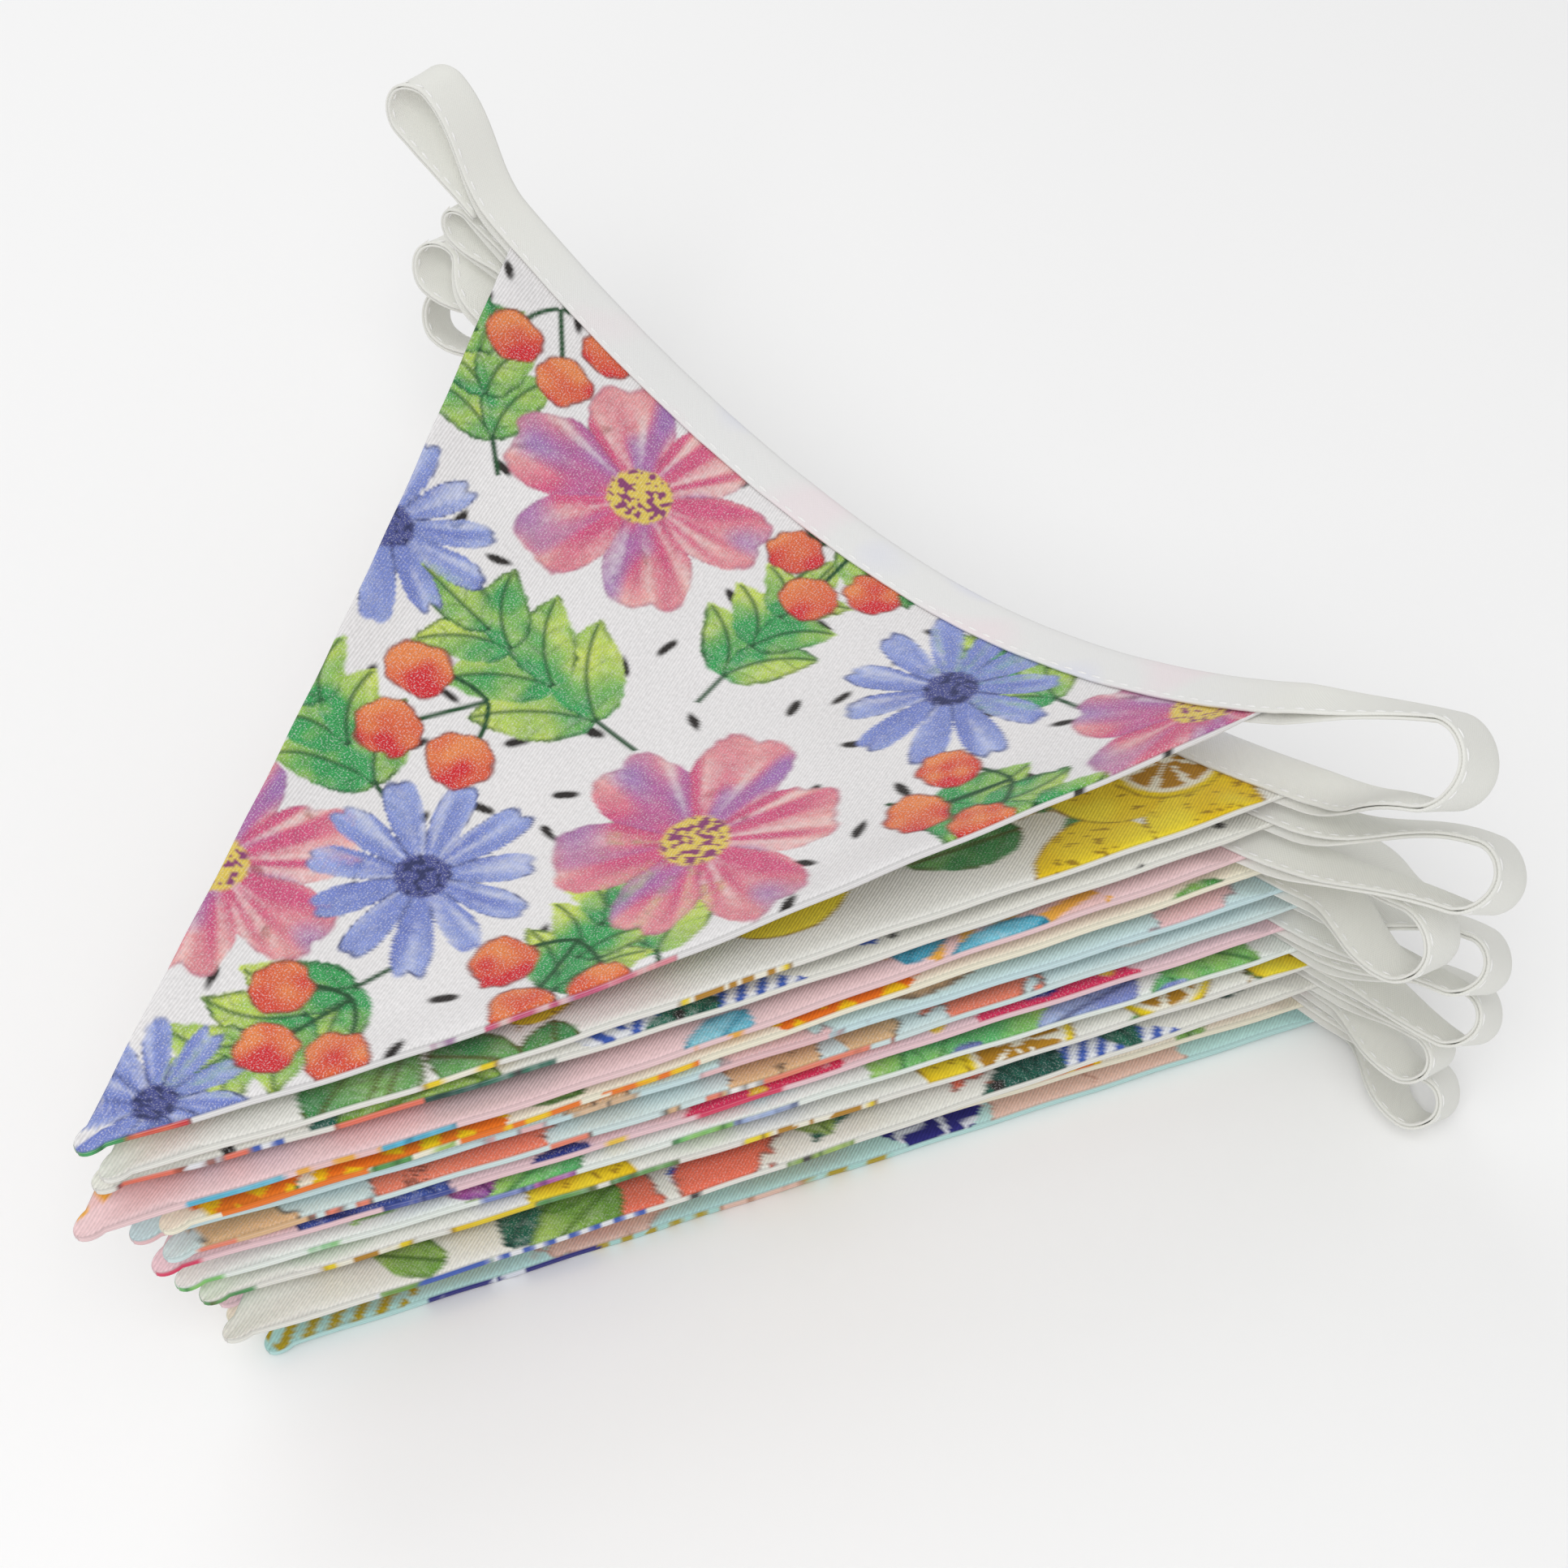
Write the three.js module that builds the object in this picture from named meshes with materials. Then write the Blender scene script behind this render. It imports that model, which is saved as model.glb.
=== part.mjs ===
import * as THREE from 'three';

// String of cloth bunting folded back and forth into a stack, in millimetres, +Z up.
// +X runs along the tape, the flags' points face -Y and the lowest flag lies on z = 0.

const flag = { halfWidth: 89, depth: 171, halfCloth: 0.6, halfHem: 1.4, hemPeak: 2, hemEnd: 5 };
const tape = { width: 9, overlap: 7.5, fold: 1.1, halfSlot: 0.95, halfRun: 1.65, halfLoop: 0.75, taper: 12 };
const pile = { mid: 52.4, tip: 66.5, left: 19, right: 16, topExtra: 13.5, rest: 1.65, settle: 0.24 };
const folded = { from: 13, beside: 2.5 };
const dish = { halfSpan: 80, depth: 163, pivotY: -57, turnIn: 84 };
const sway = { shared: 1.5, sharedPitch: 38, own: 0.4, ownPitch: 26, start: 14, grow: 40 };
const origin = { x: 5, y: -67 };

// One row for each flag from the top: how far it slid in the pile and its turn in degrees.
const slips = [
  { slideX: 0, slideY: 0, turn: 0 },
  { slideX: 2, slideY: 1, turn: 0.3 },
  { slideX: 1.5, slideY: 0, turn: -0.2 },
  { slideX: 1, slideY: -5.5, turn: 0.7 },
  { slideX: 6, slideY: 5, turn: 0.6 },
  { slideX: 4, slideY: 2, turn: -0.7 },
  { slideX: 6.5, slideY: 4.5, turn: -0.2 },
  { slideX: 5, slideY: 3, turn: -0.5 },
  { slideX: 7, slideY: 5, turn: -0.8 },
  { slideX: 9, slideY: 7, turn: -0.6 },
  { slideX: 12, slideY: 6, turn: 0.9 },
  { slideX: 7, slideY: 11, turn: -1.3 },
  { slideX: 7.5, slideY: 11, turn: -0.8 },
  { slideX: 11, slideY: 13, turn: 0.4 },
];

// One row for each bend of the tape in its order along the string: how far it reaches past the
// flags, the half height of its bulb, its rise, its swing along Y, and in degrees how far its
// loop leans back and its band rolls with it.
const bends = [
  { reach: 21.5, fat: 5.5, rise: 2.4, swing: 2, lean: 25, roll: 0 },
  { reach: 31, fat: 6.8, rise: 3, swing: 0, lean: 40, roll: 40 },
  { reach: 14, fat: 3.2, rise: -0.5, swing: -1, lean: 20, roll: 0 },
  { reach: 36, fat: 5.5, rise: 5, swing: 2, lean: 45, roll: 45 },
  { reach: 20, fat: 4.6, rise: -1.2, swing: -2, lean: 36, roll: 10 },
  { reach: 25, fat: 6.2, rise: 2, swing: -7, lean: 25, roll: 25 },
  { reach: 26, fat: 5, rise: -6.4, swing: -5, lean: 40, roll: 40 },
  { reach: 29, fat: 4.8, rise: 1.8, swing: 3, lean: 45, roll: 45 },
  { reach: 14, fat: 3.2, rise: -3, swing: 1, lean: 10, roll: 0 },
  { reach: 27, fat: 4.6, rise: 0.6, swing: 2, lean: 45, roll: 45 },
  { reach: 13, fat: 3, rise: -0.8, swing: 1, lean: 10, roll: 0 },
  { reach: 21, fat: 4.2, rise: 2.2, swing: -4, lean: 30, roll: 30 },
  { reach: 14, fat: 3, rise: 0.6, swing: -1, lean: 10, roll: 0 },
  { reach: 24, fat: 4.4, rise: 1.9, swing: -6, lean: 40, roll: 40 },
  { reach: 29.7, fat: 4.7, rise: 4.4, swing: 11.9, lean: 14, roll: 6 },
];

// Rows of a flag's net: distance below its top edge, points across and half width where rounded.
const netRows = [
  { down: 0, across: 15 },
  { down: 8.5, across: 15 },
  { down: 12, across: 15 },
  { down: 40, across: 11 },
  { down: 75, across: 9 },
  { down: 110, across: 9 },
  { down: 140, across: 7 },
  { down: 160, across: 7 },
  { down: 166.5, across: 5, half: 3.1 },
  { down: 170, across: 3, half: 1.3 },
];

const count = slips.length;
const clamp = THREE.MathUtils.clamp;

function shareOf(i) {
  return (count - 1 - i) / (count - 1);
}

function liftOf(i) {
  const share = shareOf(i);
  return { left: pile.left * share, right: pile.right * share + (i === 0 ? pile.topExtra : 0) };
}

function heightAt(i, x, y) {
  const share = shareOf(i);
  const lift = liftOf(i);
  const along = 1 + y / dish.depth;
  const level = share * (pile.mid * along + pile.tip * (1 - along));
  const bowl = (x < 0 ? lift.left : lift.right) * (x / dish.halfSpan) ** 2;
  const fade = clamp((-y - sway.start) / sway.grow, 0, 1);
  const shared = sway.shared * share * Math.sin((x + 0.6 * y) / sway.sharedPitch);
  const own = sway.own * Math.min(1, 4 * share) * Math.sin(x / sway.ownPitch + y / 40 + 1.7 * i);
  return pile.rest + level + bowl + fade * (shared + own - pile.settle);
}

// A bent flag keeps its length along the cloth, so it spans less across.
function onPile(i, across, down) {
  const slip = slips[i];
  const lift = liftOf(i);
  const bowl = across < 0 ? lift.left : lift.right;
  const flatX = across / (1 + (2 / 3) * (bowl / dish.turnIn) ** 2);
  const flatY = tape.overlap - down - dish.pivotY;
  const turn = THREE.MathUtils.degToRad(slip.turn);
  const x = slip.slideX + Math.cos(turn) * flatX - Math.sin(turn) * flatY;
  const y = slip.slideY + dish.pivotY + Math.sin(turn) * flatX + Math.cos(turn) * flatY;
  return new THREE.Vector3(x, y, heightAt(i, x, y));
}

function halfWidthAt(down) {
  return flag.halfWidth * (1 - down / flag.depth);
}

// Places across one row of the net: the hem's edge, its peak and its inner side, then even steps.
function acrossRow(half, points) {
  const narrow = Math.min(1, half / (2 * flag.hemEnd));
  const peak = flag.hemPeak * narrow;
  const inner = flag.hemEnd * narrow;
  const sides = points >= 7 ? [0, peak, inner] : points === 5 ? [0, peak] : [0];
  const left = sides.map((d) => -half + d);
  const right = sides.map((d) => half - d).reverse();
  const middle = points - 2 * sides.length;
  const edge = -left[left.length - 1];
  const even = Array.from({ length: middle }, (_, k) => -edge + (2 * edge * (k + 1)) / (middle + 1));
  return [...left, ...even, ...right];
}

function halfThickness(across, half, down) {
  const fromSide = half - Math.abs(across);
  const narrow = Math.min(1, half / (2 * flag.hemEnd));
  const peak = flag.hemPeak * narrow;
  const inner = flag.hemEnd * narrow;
  const bead = fromSide < peak ? fromSide / peak : clamp((inner - fromSide) / (inner - peak), 0, 1);
  const clear = clamp((down - tape.overlap - 1) / 3.5, 0, 1);
  return flag.halfCloth + (flag.halfHem - flag.halfCloth) * bead * clear;
}

function closedMesh(name, points, faces) {
  const geometry = new THREE.BufferGeometry();
  const flat = points.flatMap((p) => [p.x - origin.x, p.y - origin.y, p.z]);
  geometry.setAttribute('position', new THREE.Float32BufferAttribute(flat, 3));
  geometry.setIndex(faces.flat());
  const mesh = new THREE.Mesh(geometry);
  mesh.name = name;
  return mesh;
}

// Triangles between two rows of points, stepping along whichever row is behind.
function zipRows(upper, lower) {
  const faces = [];
  let a = 0;
  let b = 0;
  while (a < upper.length - 1 || b < lower.length - 1) {
    const nextA = (a + 1) / (upper.length - 1);
    const nextB = (b + 1) / (lower.length - 1);
    if (b === lower.length - 1 || (a < upper.length - 1 && nextA <= nextB)) {
      faces.push([upper[a], lower[b], upper[a + 1]]);
      a += 1;
    } else {
      faces.push([upper[a], lower[b], lower[b + 1]]);
      b += 1;
    }
  }
  return faces;
}

function makeFlag(i) {
  const points = [];
  const top = [];
  const under = [];
  for (const row of netRows) {
    const half = row.half ?? halfWidthAt(row.down);
    const topRow = [];
    const underRow = [];
    for (const across of acrossRow(half, row.across)) {
      const middle = onPile(i, across, row.down);
      const thick = halfThickness(across, half, row.down);
      topRow.push(points.push(middle.clone().setZ(middle.z + thick)) - 1);
      underRow.push(points.push(middle.clone().setZ(middle.z - thick)) - 1);
    }
    top.push(topRow);
    under.push(underRow);
  }
  const faces = [];
  const last = netRows.length - 1;
  for (let r = 0; r < last; r += 1) {
    faces.push(...zipRows(top[r], top[r + 1]));
    faces.push(...zipRows(under[r], under[r + 1]).map(([a, b, c]) => [a, c, b]));
    const ends = [[0, 0], [top[r].length - 1, top[r + 1].length - 1]];
    ends.forEach(([here, next], side) => {
      const quad = [top[r][here], under[r][here], under[r + 1][next], top[r + 1][next]];
      if (side === 1) quad.reverse();
      faces.push([quad[0], quad[1], quad[2]], [quad[0], quad[2], quad[3]]);
    });
  }
  for (let k = 0; k < top[0].length - 1; k += 1) {
    const quad = [top[0][k], top[0][k + 1], under[0][k + 1], under[0][k]];
    faces.push([quad[0], quad[1], quad[2]], [quad[0], quad[2], quad[3]]);
  }
  for (let k = 0; k < top[last].length - 1; k += 1) {
    const quad = [top[last][k], under[last][k], under[last][k + 1], top[last][k + 1]];
    faces.push([quad[0], quad[1], quad[2]], [quad[0], quad[2], quad[3]]);
  }
  return closedMesh(`flag_${String(i + 1).padStart(2, '0')}`, points, faces);
}

const tapeMiddle = tape.overlap - tape.width / 2;
const runEnd = flag.halfWidth + 0.8;

function tapeAt(i, across) {
  return onPile(i, across, tapeMiddle);
}

function widthAt(i, across) {
  return onPile(i, across, tapeMiddle - 1).sub(onPile(i, across, tapeMiddle + 1)).normalize();
}

function outwardAt(i, side) {
  return tapeAt(i, side * runEnd).sub(tapeAt(i, side * (runEnd - 1))).normalize();
}

function hermite(p, q, dirP, dirQ, t) {
  const length = p.distanceTo(q) * 1.12;
  const s = t * t;
  const c = s * t;
  return new THREE.Vector3()
    .addScaledVector(p, 2 * c - 3 * s + 1)
    .addScaledVector(dirP, (c - 2 * s + t) * length)
    .addScaledVector(q, 3 * s - 2 * c)
    .addScaledVector(dirQ, (c - s) * length);
}

// Points of one bend between two ends of tape, both facing outward, with its ends left out.
function bendPoints(start, end, row, side) {
  const zAxis = new THREE.Vector3(0, 0, 1);
  const out = start.out.clone().add(end.out).normalize();
  const upright = zAxis.addScaledVector(out, -out.z).normalize();
  const level = start.wide.clone().add(end.wide);
  level.addScaledVector(out, -level.dot(out)).normalize();
  const lean = THREE.MathUtils.degToRad(row.lean);
  const up = upright.clone().multiplyScalar(side * Math.cos(lean)).addScaledVector(level, side * Math.sin(lean));
  const tipAt = start.at.clone().add(end.at).multiplyScalar(0.5).addScaledVector(out, row.reach);
  tipAt.y += row.swing;
  tipAt.z += row.rise;
  const neck = tipAt.clone().addScaledVector(out, -row.fat);
  const knots = [
    { at: start.at, go: start.out, steps: 5 },
    { at: neck.clone().addScaledVector(up, row.fat), go: out, steps: 4 },
    { at: tipAt, go: up.clone().negate(), steps: 4 },
    { at: neck.clone().addScaledVector(up, -row.fat), go: out.clone().negate(), steps: 5 },
    { at: end.at, go: end.out.clone().negate(), steps: 0 },
  ];
  const path = [];
  for (let k = 0; k < knots.length - 1; k += 1) {
    for (let n = 0; n < knots[k].steps; n += 1) {
      path.push(hermite(knots[k].at, knots[k + 1].at, knots[k].go, knots[k + 1].go, n / knots[k].steps));
    }
  }
  path.push(end.at.clone());
  const steps = path.length - 1;
  return path.map((at, n) => {
    const roll = THREE.MathUtils.degToRad(row.roll) * Math.sin((Math.PI * n) / steps);
    const wide = start.wide.clone().lerp(end.wide, n / steps).multiplyScalar(Math.cos(roll));
    return { at, wide: wide.addScaledVector(upright, -Math.sin(roll)), run: false };
  });
}

// A hanging loop's cut end is folded back beside its own tape and stitched there.
function foldedEnd(i, row) {
  const out = outwardAt(i, -1);
  const wide = widthAt(i, -runEnd);
  const beside = wide.clone().cross(out).multiplyScalar(i === 0 ? -folded.beside : folded.beside);
  const fixed = { at: tapeAt(i, -runEnd), out, wide };
  const free = { at: fixed.at.clone().addScaledVector(out, folded.from).add(beside), out, wide };
  return i === 0 ? bendPoints(free, fixed, row, -1) : bendPoints(fixed, free, row, -1);
}

function tapePath() {
  const path = foldedEnd(0, bends[0]).slice(0, -1);
  for (let i = 0; i < count; i += 1) {
    const inner = acrossRow(halfWidthAt(tapeMiddle), netRows[0].across);
    const places = [-runEnd, ...inner, runEnd];
    if (i % 2 === 1) places.reverse();
    places.forEach((across) => {
      path.push({ at: tapeAt(i, across), wide: widthAt(i, across), run: true });
    });
    const side = i % 2 === 0 ? 1 : -1;
    if (i < count - 1) {
      const start = { at: tapeAt(i, side * runEnd), out: outwardAt(i, side), wide: widthAt(i, side * runEnd) };
      const next = i + 1;
      const end = { at: tapeAt(next, side * runEnd), out: outwardAt(next, side), wide: widthAt(next, side * runEnd) };
      path.push(...bendPoints(start, end, bends[next], 1).slice(1, -1));
    }
  }
  path.push(...foldedEnd(count - 1, bends[count]).slice(1));
  return path;
}

// Half thickness along the tape: fuller over a flag, then tapering to the bare folded tape.
function setThickness(path) {
  const near = path.map((p) => (p.run ? 0 : Infinity));
  for (let k = 1; k < path.length; k += 1) {
    near[k] = Math.min(near[k], near[k - 1] + path[k].at.distanceTo(path[k - 1].at));
  }
  for (let k = path.length - 2; k >= 0; k -= 1) {
    near[k] = Math.min(near[k], near[k + 1] + path[k].at.distanceTo(path[k + 1].at));
  }
  path.forEach((p, k) => {
    const far = clamp(near[k] / tape.taper, 0, 1);
    p.half = tape.halfRun + (tape.halfLoop - tape.halfRun) * far;
  });
}

function makeTape() {
  const path = tapePath();
  setThickness(path);
  const last = path.length - 1;
  const points = [];
  const rings = path.map((p, k) => {
    const along = path[Math.min(k + 1, last)].at.clone().sub(path[Math.max(k - 1, 0)].at).normalize();
    const wide = p.wide.clone().addScaledVector(along, -p.wide.dot(along)).normalize();
    const normal = along.clone().cross(wide);
    const put = (w, n) => points.push(p.at.clone().addScaledVector(wide, w).addScaledVector(normal, n)) - 1;
    const edge = tape.width / 2;
    const ring = { outer: [put(-edge, -p.half), put(edge, -p.half), put(edge, p.half), put(-edge, p.half)] };
    if (p.run) {
      const deep = edge - tape.fold;
      const slot = tape.halfSlot;
      ring.slot = [put(-edge, -slot), put(deep, -slot), put(deep, slot), put(-edge, slot)];
    }
    return ring;
  });
  const faces = [];
  const quad = (a, b, c, d) => faces.push([a, b, c], [a, c, d]);
  for (let k = 0; k < last; k += 1) {
    const here = rings[k];
    const next = rings[k + 1];
    for (let j = 0; j < 3; j += 1) {
      quad(here.outer[j], here.outer[j + 1], next.outer[j + 1], next.outer[j]);
    }
    const [h0, h3, n0, n3] = [here.outer[0], here.outer[3], next.outer[0], next.outer[3]];
    if (path[k].run && path[k + 1].run) {
      const a = here.slot;
      const b = next.slot;
      quad(h3, a[3], b[3], n3);
      quad(a[3], a[2], b[2], b[3]);
      quad(a[2], a[1], b[1], b[2]);
      quad(a[1], a[0], b[0], b[1]);
      quad(a[0], h0, n0, b[0]);
    } else if (path[k + 1].run) {
      const b = next.slot;
      faces.push([h3, h0, n0], [h3, n0, b[0]], [h3, b[0], b[3]], [h3, b[3], n3]);
      quad(b[0], b[1], b[2], b[3]);
    } else if (path[k].run) {
      const a = here.slot;
      faces.push([h0, n0, n3], [a[0], h0, n3], [a[3], a[0], n3], [h3, a[3], n3]);
      quad(a[3], a[2], a[1], a[0]);
    } else {
      quad(h3, h0, n0, n3);
    }
  }
  const [a0, a1, a2, a3] = rings[0].outer;
  quad(a3, a2, a1, a0);
  const [z0, z1, z2, z3] = rings[last].outer;
  quad(z0, z1, z2, z3);
  return closedMesh('tape', points, faces);
}

const bunting = new THREE.Group();
bunting.name = 'fabric_bunting';
for (let i = 0; i < count; i += 1) {
  bunting.add(makeFlag(i));
}
bunting.add(makeTape());

export default bunting;
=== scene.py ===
import math

import bpy
import numpy as np
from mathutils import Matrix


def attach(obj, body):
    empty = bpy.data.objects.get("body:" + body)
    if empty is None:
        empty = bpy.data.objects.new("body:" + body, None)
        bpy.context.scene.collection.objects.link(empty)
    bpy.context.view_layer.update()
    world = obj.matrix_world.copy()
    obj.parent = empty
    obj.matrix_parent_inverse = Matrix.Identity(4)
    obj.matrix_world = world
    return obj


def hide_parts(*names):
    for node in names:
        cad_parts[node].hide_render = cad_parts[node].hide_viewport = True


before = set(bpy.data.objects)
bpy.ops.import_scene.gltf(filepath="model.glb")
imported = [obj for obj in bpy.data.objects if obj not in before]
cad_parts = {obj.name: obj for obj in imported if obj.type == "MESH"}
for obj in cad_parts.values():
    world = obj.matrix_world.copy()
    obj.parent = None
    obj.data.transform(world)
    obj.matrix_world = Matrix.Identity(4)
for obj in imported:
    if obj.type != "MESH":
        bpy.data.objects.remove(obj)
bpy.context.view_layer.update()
bpy.ops.object.select_all(action="DESELECT")
mm = 0.001
uvUnit = 100.0  # mm of cloth in one unit of a UV map
lowest = 0.02  # mm above the floor that no cloth goes below

# sizes of the folded stack in millimetres, the solids' but for the first loop's longer end
flagCut = {"halfWidth": 89.0, "depth": 171.0, "halfCloth": 0.55, "halfHem": 1.4}
tapeCut = {"width": 9.0, "overlap": 7.5, "ply": 0.48, "halfSlot": 0.8, "halfBare": 0.1, "taper": 12.0}
pile = {"mid": 52.4, "tip": 66.5, "left": 19.0, "right": 16.0, "topExtra": 13.5, "rest": 1.65, "settle": 0.24}
folded = {"firstFrom": 4.0, "lastFrom": 13.0, "beside": 2.3}
dish = {"halfSpan": 80.0, "depth": 163.0, "pivotY": -57.0, "turnIn": 84.0}
sharedSway = {"height": 1.5, "pitch": 38.0, "slant": 0.6, "start": 14.0, "grow": 40.0}
ownSway = {"height": 0.4, "pitch": 26.0, "downPitch": 40.0, "shift": 1.7, "growth": 4}
origin = {"x": 5.0, "y": -67.0}

# slide along X, slide along Y and turn in degrees of each flag, from the top
slips = [
    (0, 0, 0), (2, 1, 0.3), (1.5, 0, -0.2), (1, -5.5, 0.7), (6, 5, 0.6), (4, 2, -0.7), (6.5, 4.5, -0.2),
    (5, 3, -0.5), (7, 5, -0.8), (9, 7, -0.6), (12, 6, 0.9), (7, 11, -1.3), (7.5, 11, -0.8), (11, 13, 0.4),
]
flagCount = len(slips)

# reach, half height of the bulb, rise, swing along Y, lean and roll of each bend, in order along the tape
bends = [
    (26, 4.8, 2.4, 2, 25, 0), (31, 6.8, 3, 0, 40, 40), (14, 3.2, -0.5, -1, 20, 0),
    (36, 5.5, 5, 2, 45, 45), (20, 4.6, -1.2, -2, 36, 10), (25, 6.2, 2, -7, 25, 25),
    (26, 5, -6.4, -5, 40, 40), (29, 4.8, 1.8, 3, 45, 45), (14, 3.2, -3, 1, 10, 0),
    (27, 4.6, 0.6, 2, 45, 45), (13, 3, -0.8, 1, 10, 0), (21, 4.2, 2.2, -4, 30, 30),
    (14, 3, 0.6, -1, 10, 0), (24, 4.4, 1.9, -6, 40, 40), (29.7, 4.7, 4.4, 11.9, 14, 6),
]


def eased(t):
    return t * t * (3 - 2 * t)


def liftOf(i):
    share = (flagCount - 1 - i) / (flagCount - 1)
    right = pile["right"] * share + (pile["topExtra"] if i == 0 else 0)
    return share, pile["left"] * share, right


def heightAt(i, x, y):
    share, left, right = liftOf(i)
    along = 1 + y / dish["depth"]
    level = share * (pile["mid"] * along + pile["tip"] * (1 - along))
    bowl = np.where(x < 0, left, right) * (x / dish["halfSpan"]) ** 2
    fade = np.clip((-y - sharedSway["start"]) / sharedSway["grow"], 0, 1)
    shared = sharedSway["height"] * share * np.sin((x + sharedSway["slant"] * y) / sharedSway["pitch"])
    ownTurn = x / ownSway["pitch"] + y / ownSway["downPitch"] + ownSway["shift"] * i
    own = ownSway["height"] * min(1, ownSway["growth"] * share) * np.sin(ownTurn)
    return pile["rest"] + level + bowl + fade * (shared + own - pile["settle"])


def onPile(i, across, down):
    across = np.asarray(across, float)
    down = np.asarray(down, float)
    slideX, slideY, turn = slips[i]
    bowl = np.where(across < 0, *liftOf(i)[1:])
    # a bowed flag spans less: two thirds of the squared slope is the arc's extra length
    flatX = across / (1 + (2 / 3) * (bowl / dish["turnIn"]) ** 2)
    flatY = tapeCut["overlap"] - down - dish["pivotY"]
    c, s = math.cos(math.radians(turn)), math.sin(math.radians(turn))
    x = slideX + c * flatX - s * flatY
    y = slideY + dish["pivotY"] + s * flatX + c * flatY
    return np.stack([x, y, heightAt(i, x, y)], -1)


def linear(code):
    values = [int(code[k:k + 2], 16) / 255 for k in (1, 3, 5)]
    return np.array([v / 12.92 if v <= 0.04045 else ((v + 0.055) / 1.055) ** 2.4 for v in values])


def grain(x, y, seed=0.0):
    # smooth random values from 0 to 1 on a grid one unit wide
    xi, yi = np.floor(x), np.floor(y)
    fx, fy = eased(x - xi), eased(y - yi)

    def corner(i, j):
        h = np.sin(i * 127.1 + j * 311.7 + seed * 74.7) * 43758.5453
        return h - np.floor(h)

    low = corner(xi, yi) * (1 - fx) + corner(xi + 1, yi) * fx
    high = corner(xi, yi + 1) * (1 - fx) + corner(xi + 1, yi + 1) * fx
    return low * (1 - fy) + high * fy


def newObject(name, points, faces, material):
    mesh = bpy.data.meshes.new(name)
    mesh.from_pydata(points, [], faces)
    mesh.polygons.foreach_set("use_smooth", np.ones(len(mesh.polygons), bool))
    mesh.materials.append(material)
    piece = bpy.data.objects.new(name, mesh)
    bpy.context.scene.collection.objects.link(piece)
    return piece


def inFrame(points):
    return (np.asarray(points) - np.array([origin["x"], origin["y"], 0])) * mm


def cornersOf(mesh):
    corner = np.zeros(len(mesh.loops), np.int32)
    mesh.loops.foreach_get("vertex_index", corner)
    return corner


def giveCut(mesh, uv):
    mesh.uv_layers.new(name="cut").data.foreach_set("uv", (uv / uvUnit).astype(np.float32).ravel())


def giveValue(mesh, name, values):
    mesh.attributes.new(name, "FLOAT", "POINT").data.foreach_set("value", values.astype(np.float32))


def addNode(tree, kind, links=None, **settings):
    node = tree.nodes.new("ShaderNode" + kind)
    for key, value in settings.items():
        if key.startswith("set_"):
            setattr(node, key[4:], value)
        else:
            socket = int(key[1:]) if key[1:].isdigit() else key.replace("_", " ")
            node.inputs[socket].default_value = value
    for target, source in (links or {}).items():
        tree.links.new(source, node.inputs[target])
    return node


clothShine = {"IOR": 1.46, "Specular IOR Level": 0.25, "Sheen Roughness": 0.6}


def freshMaterial(name, roughness, sheen):
    material = bpy.data.materials.new(name)
    material.use_nodes = True
    tree = material.node_tree
    shader = tree.nodes["Principled BSDF"]
    for key, value in {**clothShine, "Roughness": roughness, "Sheen Weight": sheen}.items():
        shader.inputs[key].default_value = value
    return material, tree, shader


# sizes in mm; the ribs lean 18 degrees from the flag's middle line
twillWeave = {"rib": 0.52, "lean": (0.95, -0.32), "yarn": 0.7, "cloud": 22.0, "speck": 0.3}
clothWhite = "#eeecee"


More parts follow.
